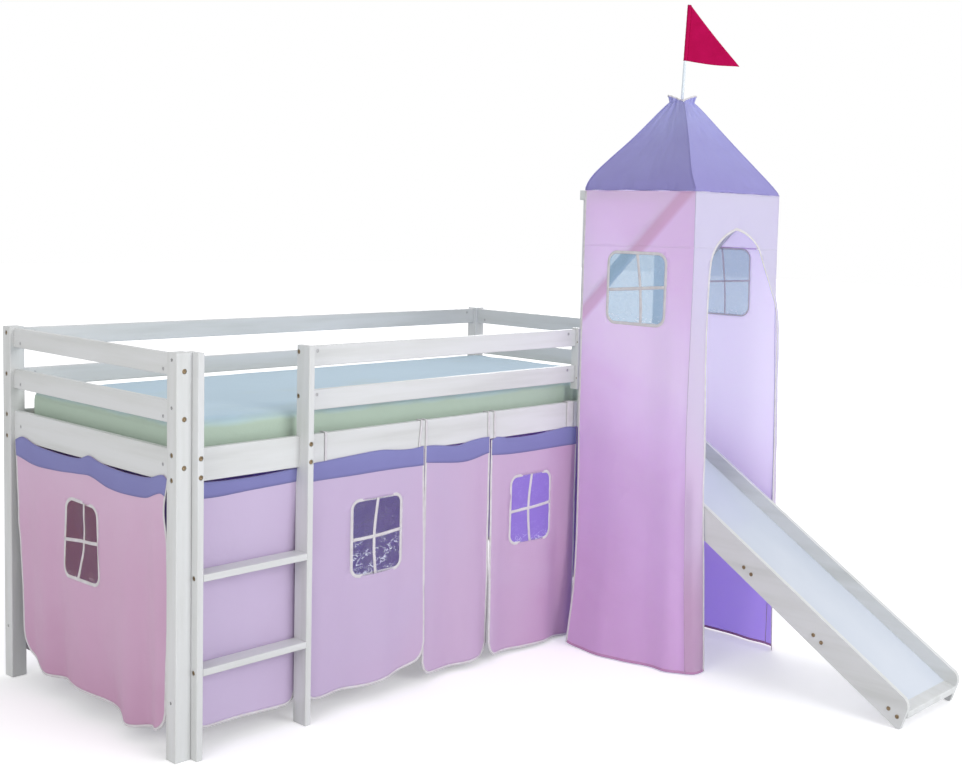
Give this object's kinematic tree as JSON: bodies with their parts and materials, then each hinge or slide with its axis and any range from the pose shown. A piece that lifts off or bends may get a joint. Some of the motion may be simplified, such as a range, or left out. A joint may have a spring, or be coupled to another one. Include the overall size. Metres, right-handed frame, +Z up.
{
  "type": "raised bunk bed",
  "caption": "Child's raised single bed in painted wood with a ladder, guard rails, a straight slide, a cloth tower over its head, play curtains and a flag.",
  "frame": {"origin": "on the floor, under the middle of the object's bounding box", "axes": "+X along the bed towards the tower end, +Y to the back of the bed, +Z up; the slide runs down towards -Y"},
  "size_m": [2.1287, 2.2965, 2.2716],
  "materials": {
    "white_paint": "satin white paint",
    "pine": "planed, unpainted",
    "chute_surface": "smooth gloss laminate",
    "mattress_cover": "woven cover",
    "pink_cloth": "woven cotton, plain",
    "purple_cloth": "woven cotton, plain",
    "clear_film": "clear flexible film",
    "flag_felt": "felt",
    "pole_paint": "painted",
    "bronze_heads": "bronze coating",
    "nut_steel": "plain"
  },
  "bodies": {
    "frame": {"post_front_left": "white_paint", "post_front_right": "white_paint", "post_back_left": "white_paint", "post_back_right": "white_paint", "side_rail_front": "white_paint", "side_rail_back": "white_paint", "end_rail_left_low": "white_paint", "end_rail_left_middle": "white_paint", "end_rail_left_upper": "white_paint", "end_rail_right_low": "white_paint", "end_rail_right_middle": "white_paint", "end_rail_right_upper": "white_paint", "guard_rail_back_lower": "white_paint", "guard_rail_back_upper": "white_paint", "guard_rail_front_lower": "white_paint", "guard_rail_front_upper": "white_paint", "guard_end_cleat": "white_paint", "ladder_stile_left": "white_paint", "ladder_stile_right": "white_paint", "ladder_rung_lower": "white_paint", "ladder_rung_upper": "white_paint", "slide_board_left": "white_paint", "slide_board_right": "white_paint", "slide_battens": "white_paint", "slide_header": "white_paint", "slide_exit_lip": "white_paint", "tower_post_left": "white_paint", "tower_post_right": "white_paint", "tower_arm_left": "white_paint", "tower_arm_right": "white_paint", "tower_bar_front": "white_paint", "tower_bar_rear": "white_paint", "tower_bar_centre": "white_paint", "tower_brace_left": "white_paint", "tower_brace_right": "white_paint", "slat_ledger_front": "pine", "slat_ledger_back": "pine", "bed_slats": "pine", "slide_chute": "chute_surface", "tower_wall_left": "pink_cloth", "tower_wall_front": "pink_cloth", "tower_wall_right": "pink_cloth", "curtain_end_left": "pink_cloth", "curtain_ladder": "pink_cloth", "curtain_front_middle": "pink_cloth", "curtain_front_right": "pink_cloth", "curtain_back": "pink_cloth", "curtain_end_right": "pink_cloth", "curtain_bands": "purple_cloth", "tower_roof": "purple_cloth", "tower_window_films": "clear_film", "curtain_window_films": "clear_film", "frame_bolts": "bronze_heads", "slide_bolts": "bronze_heads", "barrel_nuts": "nut_steel"},
    "mattress": {"mattress": "mattress_cover"},
    "door_flap": {"door_flap": "pink_cloth", "door_flap_band": "purple_cloth"},
    "flag": {"flag_pole": "pole_paint", "flag": "flag_felt"}
  },
  "joints": [
    {"name": "mattress_lift", "type": "slide", "parent": "frame", "child": "mattress", "axis": [0, 0, 1], "range_m": [0, 0.25]},
    {"name": "door_flap_lift", "type": "hinge", "parent": "frame", "child": "door_flap", "pos_m": [-0.0158, 0.17195, 0.776], "axis": [-1, 0, 0], "range_deg": [0, 80]},
    {"name": "flag_spin", "type": "hinge", "parent": "frame", "child": "flag", "pos_m": [0.7927, -0.06575, 1.582], "axis": [0.0252, -0.0315, 0.9992], "continuous": true}
  ]
}
